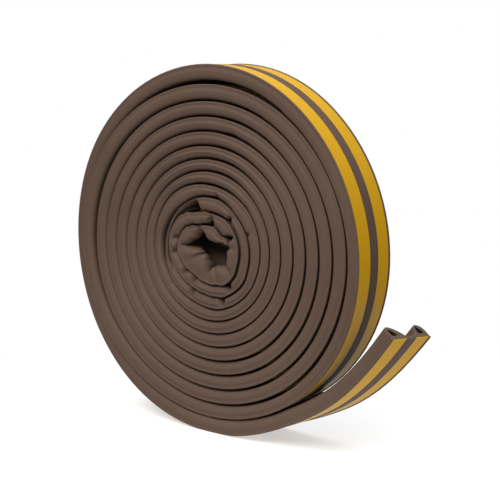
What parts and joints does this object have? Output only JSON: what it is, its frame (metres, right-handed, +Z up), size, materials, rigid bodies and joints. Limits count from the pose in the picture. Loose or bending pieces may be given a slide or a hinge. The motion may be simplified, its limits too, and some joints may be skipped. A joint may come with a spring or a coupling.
{
  "type": "self-adhesive rubber seal",
  "caption": "Coiled double-D rubber weather strip with a hollow section and paper-covered adhesive back, standing on its tread with its cut end free.",
  "frame": {"origin": "on the floor under the coil's axis, half way across the strip, at the middle of the facet that the coil stands on", "axes": "+Y along the coil's axis, away from the face that shows; +Z up; +X towards the free end"},
  "size_m": [0.1413, 0.0235, 0.1276],
  "materials": {
    "rubber": "matt brown cellular rubber with a smooth skin",
    "release_paper": "amber siliconised release paper, satin"
  },
  "bodies": {
    "root": {"rubber_strip": "rubber", "front_release_liner": "release_paper", "rear_release_liner": "release_paper"}
  },
  "joints": []
}
